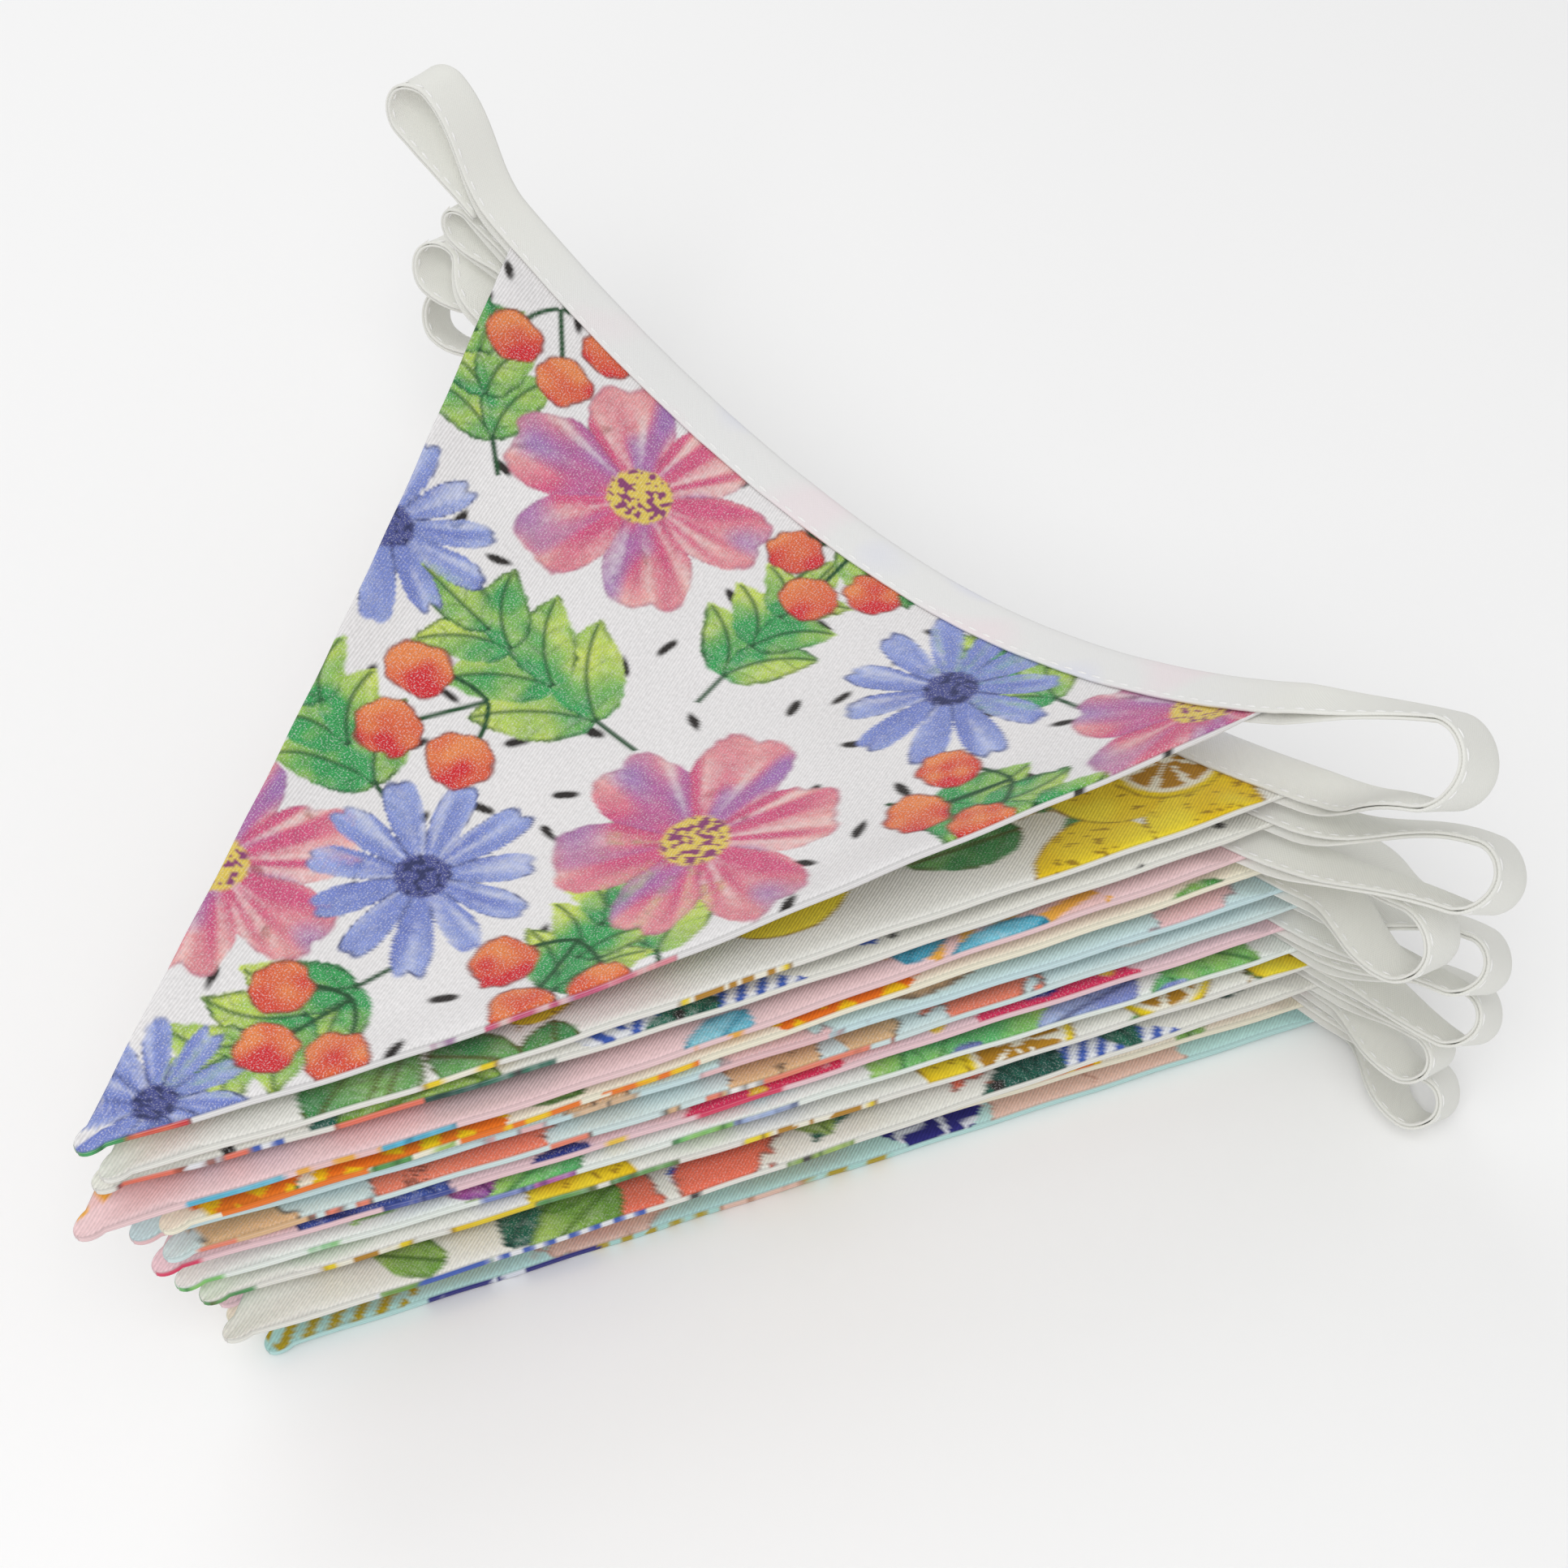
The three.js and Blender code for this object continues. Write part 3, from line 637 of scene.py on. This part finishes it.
def paint(kind, seed, across, down):
    design = prints[kind]
    colours = np.tile([*linear(design["ground"]), 0], (len(across), 1))
    dice = np.random.default_rng(seed)
    rows = list(design.get("rows", []))
    for group in design["scatter"]:
        for n in range(group["count"]):
            # even over the triangle, which narrows to its tip
            deep = flagCut["depth"] * (1 - math.sqrt(1 - dice.uniform(scatter["from"], 1.0)))
            wide = flagCut["halfWidth"] * (1 - deep / flagCut["depth"]) + scatter["beyond"]
            size = dice.uniform(*group["size"])
            row = {"at": (dice.uniform(-wide, wide), deep), "turn": dice.uniform(0, 360)}
            row.update({"length": size, "width": size * group["slim"], "speck": scatter["speck"]})
            rows.append({**group, **row})
    for row in rows:
        draw[row["kind"]](colours, across, down, row)
    return colours


# spacing of a flag's net in mm: close where its print shows, wide where other flags cover it
fineHem = [0.0, 0.15, 0.4, 0.8, 1.3, 1.9, 2.5, 3.1, 3.7, 4.2, 4.7, 5.2]
plainHem = [0.0, 0.8, 2.2, 5.2]
topNet = {"hem": fineHem, "row": 0.44, "edge": 0.44, "reach": 200.0, "middle": 0.44}
secondNet = {"hem": fineHem, "row": 0.6, "edge": 0.55, "reach": 30.0, "middle": 8.0}
pileNet = {**secondNet, "reach": 16.0}
underNet = {"hem": plainHem, "edge": 1.6, "reach": 9.0, "middle": 8.0}
openNet = {"hem": fineHem, "edge": 0.85, "reach": 200.0, "middle": 0.85}
narrowNet = {"below": 7, "steps": 8, "nearest": 0.4}
# rows down the flag; the raw top edge ends just short of the tape's fold
tapeRows = [0.5, 4, 7.5]
clothRows = {"from": 8, "to": 163}
tipRows = [163, 164, 165, 166, 167, 167.8, 168.6, 169.3, 169.9, 170.3, 170.55]
tipTurn = {"from": 167.0, "run": 3.6, "thinFrom": 14.0, "thinTo": 0.3}
tipCurl = {"height": 2.4, "from": 145, "run": 25}
hem = {"narrowAt": 12, "round": 1.5, "least": 0.4, "flatAt": 11, "fall": 9.5, "belowTape": 1, "grow": 4}

# the under panel wraps up the edge to the seam: outward step, share of the half height, mm below the seam
edgeWall = [(0.14, 0.6, 0.4), (0.26, 0.05, 0.95), (0.24, -0.5, 1.5), (0.1, -0.9, 2.0)]
wallColumns = np.array([-1.0, -0.8, -0.6, -0.4, -0.2])
edgeColumn = 200  # past any half width

# height and spacing in mm of the seams' puckers, the gathers under the tape's stitching and the soft hollows
pucker = {"height": 0.16, "pitch": 2.9, "shift": 3, "fade": 6}
gather = {"height": 0.22, "across": 5.5, "down": 60, "from": 8, "fade": 16}
hollow = {"height": 0.5, "across": 19, "down": 23, "shift": 3, "fade": 20}
belowStitches = {"from": 9, "grow": 5}
# the top panel's points on the seam get a painted shadow line: their colour is darkened by this share
seamShadow = {"within": 0.001, "shade": 0.72}


def halfWidthAt(down):
    straight = flagCut["halfWidth"] * (1 - down / flagCut["depth"])
    atTurn = flagCut["halfWidth"] * (1 - tipTurn["from"] / flagCut["depth"])
    rounded = atTurn * np.sqrt(np.clip(1 - ((down - tipTurn["from"]) / tipTurn["run"]) ** 2, 0.01, 1))
    return np.where(down < tipTurn["from"], straight, rounded)


def placesAcross(half, net):
    if half < narrowNet["below"]:
        steps = np.linspace(0, half, narrowNet["steps"] + 1)[:-1]
    else:
        first = net["hem"][-1] + net["edge"]
        edge = np.arange(first, min(net["reach"], half), net["edge"])
        middle = np.arange(max(net["reach"], first), half, net["middle"])
        steps = np.concatenate([net["hem"], edge, middle])
        steps = steps[steps < half - narrowNet["nearest"] * net["edge"]]
    return np.concatenate([-half + steps, [0.0], (half - steps)[::-1]])


def columnsOf(places, half):
    # columns keep their distance from the edge, so that rows of different width join straight
    right = np.where(places > 0, places - half + edgeColumn, 0)
    return np.where(places < 0, places + half - edgeColumn, right)


def zipRows(upper, upperAt, lower, lowerAt, faces, flip):
    a = b = 0
    lastA, lastB = len(upper) - 1, len(lower) - 1
    while a < lastA or b < lastB:
        if b == lastB or (a < lastA and upperAt[a + 1] <= lowerAt[b + 1]):
            face = (upper[a], lower[b], upper[a + 1])
            a += 1
        else:
            face = (upper[a], lower[b], lower[b + 1])
            b += 1
        if len(set(face)) == 3:
            faces.append(face[::-1] if flip else face)


def halfThickness(across, half, down):
    # a soft folded edge that thins to flat cloth
    narrow = np.minimum(1, half / hem["narrowAt"])
    d = np.maximum(half - np.abs(across), 0) / narrow
    curve = np.sqrt(np.clip(1 - (1 - np.clip(d / hem["round"], 0, 1)) ** 2, 0, 1))
    rise = hem["least"] + (1 - hem["least"]) * curve
    fall = eased(np.clip((hem["flatAt"] - d) / hem["fall"], 0, 1))
    clear = np.clip((down - tapeCut["overlap"] - hem["belowTape"]) / hem["grow"], 0, 1)
    full = flagCut["halfHem"] - flagCut["halfCloth"]
    # the pressed tip is thinner
    pressed = np.clip((flagCut["depth"] - down) / tipTurn["thinFrom"], tipTurn["thinTo"], 1)
    return flagCut["halfCloth"] + full * rise * fall * clear * pressed


def flagNet(topStyle, underStyle):
    openRows = np.arange(clothRows["from"], clothRows["to"], topStyle["row"])
    downs = np.concatenate([tapeRows, openRows, tipRows])
    # columns: across, down, half width, share of the half height, mm below the seam or -1
    points, topRows, underRows, topAt, underAt, faces = [], [], [], [], [], []
    for down, half in zip(downs, halfWidthAt(downs)):
        places = placesAcross(half, topStyle)
        topRows.append(list(range(len(points), len(points) + len(places))))
        topAt.append(columnsOf(places, half))
        points.extend((x, down, half, 1.0, -1.0) for x in places)
        inner = placesAcross(half, underStyle)[1:-1]
        first = len(points)
        points.extend((-half - out, down, half, share, below) for out, share, below in edgeWall)
        points.extend((x, down, half, -1.0, -1.0) for x in inner)
        points.extend((half + out, down, half, share, below) for out, share, below in edgeWall[::-1])
        underRows.append([topRows[-1][0], *range(first, len(points)), topRows[-1][-1]])
        wall = wallColumns - edgeColumn
        underAt.append(np.concatenate([wall, columnsOf(inner, half), -wall[::-1]]))
    for r in range(len(downs) - 1):
        zipRows(topRows[r], topAt[r], topRows[r + 1], topAt[r + 1], faces, False)
        zipRows(underRows[r], underAt[r], underRows[r + 1], underAt[r + 1], faces, True)
    zipRows(topRows[0], topAt[0], underRows[0], underAt[0], faces, True)
    zipRows(topRows[-1], topAt[-1], underRows[-1], underAt[-1], faces, False)
    return np.array(points).T, faces


def crumple(i, across, down, fromSide):
    clear = np.clip((down - belowStitches["from"]) / belowStitches["grow"], 0, 1)
    wave = np.sin(down / pucker["pitch"] + pucker["shift"] * i + np.sign(across))
    puckers = pucker["height"] * wave * np.exp(-fromSide / pucker["fade"])
    folds = grain(across / gather["across"], down / gather["down"], i) - 0.5
    gathers = gather["height"] * folds * np.exp(-(down - gather["from"]) / gather["fade"])
    dips = grain(across / hollow["across"] + hollow["shift"] * i, down / hollow["down"], i) - 0.5
    hollows = hollow["height"] * dips * np.clip(fromSide / hollow["fade"], 0, 1)
    # each tip curls a little in its own way, and the lowest flag has no hollows
    toTip = np.clip((down - tipCurl["from"]) / tipCurl["run"], 0, 1) ** 2
    curl = tipCurl["height"] * (grain(np.full(len(down), 1.7 * i), 3.1, 5) - 0.5) * toTip
    return clear * (puckers + gathers + hollows * (i < flagCount - 1)) + curl


def makeFlag(i):
    topStyle = topNet if i == 0 else secondNet if i == 1 else pileNet
    underStyle = openNet if i == flagCount - 1 else underNet
    (across, down, half, share, below), faces = flagNet(topStyle, underStyle)
    fromSide = np.maximum(half - np.abs(across), 0)
    places = onPile(i, across, down)
    places[:, 2] += crumple(i, across, down, fromSide) + share * halfThickness(across, half, down)
    places[:, 2] = np.maximum(places[:, 2], lowest)
    piece = newObject("flag%02d" % (i + 1), inFrame(places), faces, twill)
    mesh = piece.data
    under = share < 1
    upper = ~under
    fromTip = flagCut["depth"] - down
    colours = np.zeros((len(across), 4))
    colours[upper] = paint(printOf[i], scatter["upperSeed"] + i, across[upper], down[upper])
    colours[under] = paint(printOf[i], scatter["underSeed"] + i, across[under], fromTip[under])
    # painted shade along the fold of the seam
    onSeam = (share == 1) & (fromSide < seamShadow["within"]) & (down > belowStitches["from"])
    colours[onSeam, :3] *= seamShadow["shade"]
    ink = mesh.color_attributes.new("print", "FLOAT_COLOR", "POINT")
    opaque = np.column_stack([colours[:, :3], np.ones(len(across))])
    ink.data.foreach_set("color", opaque.astype(np.float32).ravel())
    giveValue(mesh, "speck", colours[:, 3])
    corner = cornersOf(mesh)
    uv = np.column_stack([across, down])[corner]
    # on the edge the ribs run along the seam
    inWall = (onSeam | (below > 0))[corner].reshape(-1, 3).all(1).repeat(3)
    uv[inWall] = np.column_stack([np.maximum(below, 0), 0 * below])[corner][inWall]
    giveCut(mesh, uv)
    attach(piece, "root")
    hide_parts("flag_%02d" % (i + 1))
    return piece


flags = [makeFlag(i) for i in range(flagCount)]
print("flags done", sum(len(f.data.polygons) for f in flags), "triangles")

tapeMiddle = tapeCut["overlap"] - tapeCut["width"] / 2
runEnd = flagCut["halfWidth"] + 0.8  # mm from a flag's middle line to where its bend starts
runSteps = 61
legSteps = (16, 12, 12, 16)
slack = 1.12  # pull of a bend's curves, for a straight length of 1


def unit(v):
    return v / np.linalg.norm(v, axis=-1, keepdims=True)


def tapeAt(i, across):
    return onPile(i, across, np.full(np.shape(across), tapeMiddle))


def widthAt(i, across):
    step = np.ones(np.shape(across))
    return unit(onPile(i, across, (tapeMiddle - 1) * step) - onPile(i, across, (tapeMiddle + 1) * step))


def outwardAt(i, side):
    return unit(tapeAt(i, side * runEnd) - tapeAt(i, side * (runEnd - 1)))


def hermite(p, q, dirP, dirQ, t):
    length = np.linalg.norm(q - p) * slack
    t = t[:, None]
    s, c = t * t, t ** 3
    ends = p * (2 * c - 3 * s + 1) + q * (3 * s - 2 * c)
    return ends + dirP * (c - 2 * s + t) * length + dirQ * (c - s) * length


def bendPath(start, end, row, side):
    reach, fat, rise, swing, lean, roll = row
    out = unit(start["out"] + end["out"])
    upright = unit(np.array([0, 0, 1.0]) - out * out[2])
    level = start["wide"] + end["wide"]
    level = unit(level - out * (level @ out))
    tilt = math.radians(lean)
    up = (upright * math.cos(tilt) + level * math.sin(tilt)) * side
    tipAt = (start["at"] + end["at"]) / 2 + out * reach + np.array([0, swing, rise])
    neck = tipAt - out * fat
    knots = [
        (start["at"], start["out"]), (neck + up * fat, out), (tipAt, -up), (neck - up * fat, -out),
        (end["at"], -end["out"]),
    ]
    legs = []
    for (p, dirP), (q, dirQ), steps in zip(knots, knots[1:], legSteps):
        legs.append(hermite(p, q, dirP, dirQ, np.arange(steps) / steps))
    path = np.concatenate(legs + [end["at"][None]])
    share = np.linspace(0, 1, len(path))[:, None]
    turn = math.radians(roll) * np.sin(math.pi * share)
    wide = start["wide"] * (1 - share) + end["wide"] * share
    return path, wide * np.cos(turn) - upright * np.sin(turn)


def tapeEnd(i, side):
    return {"at": tapeAt(i, side * runEnd), "out": outwardAt(i, side), "wide": widthAt(i, side * runEnd)}


def foldedEnd(i, row):
    fixed = tapeEnd(i, -1)
    beside = np.cross(fixed["wide"], fixed["out"]) * (-folded["beside"] if i == 0 else folded["beside"])
    start = folded["firstFrom"] if i == 0 else folded["lastFrom"]
    free = {**fixed, "at": fixed["at"] + fixed["out"] * start + beside}
    return bendPath(free, fixed, row, -1) if i == 0 else bendPath(fixed, free, row, -1)


def tapePath():
    path, wide, run = [], [], []

    def add(piece, isRun, first, last):
        path.append(piece[0][first:last])
        wide.append(piece[1][first:last])
        run.append(np.full(len(path[-1]), isRun))

    add(foldedEnd(0, bends[0]), False, 0, -1)
    for i in range(flagCount):
        side = 1 if i % 2 == 0 else -1
        across = np.linspace(-runEnd, runEnd, runSteps) * side
        add((tapeAt(i, across), widthAt(i, across)), True, 0, None)
        if i < flagCount - 1:
            add(bendPath(tapeEnd(i, side), tapeEnd(i + 1, side), bends[i + 1], 1), False, 1, -1)
    add(foldedEnd(flagCount - 1, bends[flagCount]), False, 1, None)
    return tuple(np.concatenate(values) for values in (path, wide, run))


stitch = {"pitch": 3.0, "length": 2.2, "radius": 0.2, "inset": -3.6, "from": 2, "sunk": 0.1, "stray": 0.06}
# the tape's section: steps across its outer faces and its slot, where the slot ends, the fold's angles and
# most radius; the stitches press a groove, and the raw edge is pressed too
tapeSection = {
    "outer": [-4.5, -4.25, -3.6, -2.4, -0.8, 0.8, 2.2], "slot": [-4.5, -1.5, 1.4, 2.6], "slotEnd": 3.0,
    "fold": [-90, -60, -30, 0, 30, 60, 90], "roundMost": 1.3,
    "groove": 0.16, "grooveRun": 0.5, "edgePressed": 0.25, "edgeBelow": -4.4,
}
# height in mm, pitch and seed of the waves in the tape's edges; the fold has less of them
tapeWaves = [(0.12, 7, 3), (0.1, 3, 6)]
foldWaves = 0.6
showThrough = 30.0  # mm from a run's end to where the flag shows through in full


def pressAt(w):
    groove = tapeSection["groove"] * np.exp(-((w - stitch["inset"]) / tapeSection["grooveRun"]) ** 2)
    return 1 - groove - tapeSection["edgePressed"] * (w < tapeSection["edgeBelow"])


def sectionRing(slot):
    outer = slot + tapeCut["ply"]
    edge = tapeCut["width"] / 2
    curve = np.minimum(outer, tapeSection["roundMost"])
    level = np.ones(len(slot))
    ring = [(w * level, -slot - tapeCut["ply"] * pressAt(w)) for w in tapeSection["outer"]]
    for a in np.radians(tapeSection["fold"]):
        ring.append((edge - curve + curve * np.cos(a), outer * np.sin(a)))
    ring += [(w * level, slot + tapeCut["ply"] * pressAt(w)) for w in tapeSection["outer"][::-1]]
    ring += [(w * level, slot) for w in tapeSection["slot"]]
    ring.append((tapeSection["slotEnd"] * level, 0 * slot))
    return ring + [(w * level, -slot) for w in tapeSection["slot"][::-1]]


def makeTape():
    path, wide, run = tapePath()
    along = unit(np.gradient(path, axis=0))
    length = np.concatenate([[0], np.cumsum(np.linalg.norm(np.diff(path, axis=0), axis=1))])
    wide = unit(wide - along * (along * wide).sum(1, keepdims=True))
    normal = np.cross(along, wide)
    toRun = np.abs(length[:, None] - length[run][None, :]).min(1)
    toBend = np.abs(length[:, None] - length[~run][None, :]).min(1)
    bare = eased(np.clip(toRun / tapeCut["taper"], 0, 1))
    slot = tapeCut["halfSlot"] + (tapeCut["halfBare"] - tapeCut["halfSlot"]) * bare
    ring = sectionRing(slot)
    size = len(ring)
    wave = sum(high * (grain(length / pitch, 0 * length, seed) - 0.5) for high, pitch, seed in tapeWaves)
    points = np.zeros((len(path), size, 3))
    around = [0.0]
    for k, (w, n) in enumerate(ring):
        lean = w + wave * (1 if w[0] < 0 else foldWaves)
        points[:, k] = path + wide * lean[:, None] + normal * n[:, None]
        if k:
            around.append(around[-1] + math.hypot(w[0] - ring[k - 1][0][0], n[0] - ring[k - 1][1][0]))
    points[:, :, 2] = np.maximum(points[:, :, 2], lowest)
    faces = []
    for j in range(len(path) - 1):
        for k in range(size):
            n = (k + 1) % size
            faces.append((j * size + k, j * size + n, (j + 1) * size + n, (j + 1) * size + k))
    faces.append(tuple(range(size - 1, -1, -1)))
    faces.append(tuple((len(path) - 1) * size + k for k in range(size)))
    piece = newObject("foldedTape", inFrame(points.reshape(-1, 3)), faces, tapeCloth)
    mesh = piece.data
    flat = np.column_stack([np.repeat(length, size), np.tile(around, len(path))])
    giveCut(mesh, flat[cornersOf(mesh)])
    giveValue(mesh, "overFlag", np.repeat(eased(np.clip(toBend / showThrough, 0, 1)), size))
    line = {"path": path, "along": along, "wide": wide, "normal": normal, "length": length}
    return piece, {**line, "outer": slot + tapeCut["ply"]}


tape, line = makeTape()
print("tape done", round(line["length"][-1]), "mm long")

# a stitch is a low six-sided grain of thread, sunk at both ends: share of its length and radius, mm of lift
stitchShape = [(-0.5, 0.35, -0.12), (-0.3, 0.9, 0.0), (0.0, 1.0, 0.04), (0.3, 0.9, 0.0), (0.5, 0.35, -0.12)]
stitchSides = 6
stitchFlat = 0.8  # height for a width of 1


def makeStitches():
    places = np.arange(stitch["from"], line["length"][-1] - stitch["from"], stitch["pitch"])
    points, faces = [], []
    names = ("path", "along", "wide", "normal")
    where, along, wide, normal = (
        np.stack([np.interp(places, line["length"], line[n][:, k]) for k in range(3)], 1) for n in names
    )
    outer = np.interp(places, line["length"], line["outer"])
    dice = np.random.default_rng(5)
    for j in range(len(places)):
        for side in (1, -1):
            first = len(points)
            shift = dice.normal() * stitch["stray"]
            for t, r, lift in stitchShape:
                middle = where[j] + along[j] * t * stitch["length"] + wide[j] * (stitch["inset"] + shift * t)
                middle = middle + normal[j] * side * (outer[j] - stitch["sunk"] + lift)
                for k in range(stitchSides):
                    turn = 2 * math.pi * k / stitchSides
                    spread = wide[j] * math.cos(turn) + normal[j] * side * math.sin(turn) * stitchFlat
                    points.append(middle + spread * stitch["radius"] * r)
            last = len(points) - stitchSides
            for row in range(first, last, stitchSides):
                for k in range(stitchSides):
                    a, b = row + k, row + (k + 1) % stitchSides
                    face = (a, b, b + stitchSides, a + stitchSides)
                    faces.append(face if side == 1 else face[::-1])
            ends = [tuple(range(first, first + stitchSides))[::-1], tuple(range(last, last + stitchSides))]
            faces.extend(end if side == 1 else end[::-1] for end in ends)
    points = np.array(points)
    points[:, 2] = np.maximum(points[:, 2], lowest)
    return newObject("tapeStitches", inFrame(points), faces, thread)


stitches = makeStitches()
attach(tape, "root")
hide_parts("tape")
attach(stitches, "root")
print("stitches done")

# pale floor and soft studio light
bpy.ops.mesh.primitive_plane_add(size=6, location=(0, 0, -0.0003))
floor = bpy.context.object
floor.name = "floor"
floor.data.materials.append(paper)

world = bpy.data.worlds.new("studio")
bpy.context.scene.world = world
world.use_nodes = True
world.node_tree.nodes["Background"].inputs["Color"].default_value = (1, 1, 1, 1)
world.node_tree.nodes["Background"].inputs["Strength"].default_value = 0.54


def addLight(name, place, aim, size, watts):
    bpy.ops.object.light_add(type="AREA", location=place)
    light = bpy.context.object
    light.name = name
    light.data.size = size
    light.data.energy = watts
    back = np.array(place) - np.array(aim)
    light.rotation_euler = (math.acos(back[2] / np.linalg.norm(back)), 0, math.atan2(back[0], -back[1]))


addLight("keyLight", (0.35, -0.55, 1.1), (0, 0, 0.03), 0.9, 7.4)
addLight("sideLight", (-0.9, 0.2, 0.9), (0, 0, 0.03), 0.9, 2.7)

# degrees, and mm for the distance and the point looked at
view = {
    "azimuth": 43.17, "elevation": 52.92, "distance": 482.57, "look": (9.49, 33.53, 40.0), "angle": 30.0,
}
a, e = math.radians(view["azimuth"]), math.radians(view["elevation"])
back = np.array([math.sin(a) * math.cos(e), -math.cos(a) * math.cos(e), math.sin(e)])
place = (np.array(view["look"]) + back * view["distance"]) * mm
bpy.ops.object.camera_add(location=place, rotation=(math.pi / 2 - e, 0, a))
camera = bpy.context.object
camera.data.angle = math.radians(view["angle"])
camera.data.clip_start = 0.01
bpy.context.scene.camera = camera
bpy.context.scene.view_settings.view_transform = "Standard"
print("light and camera done")
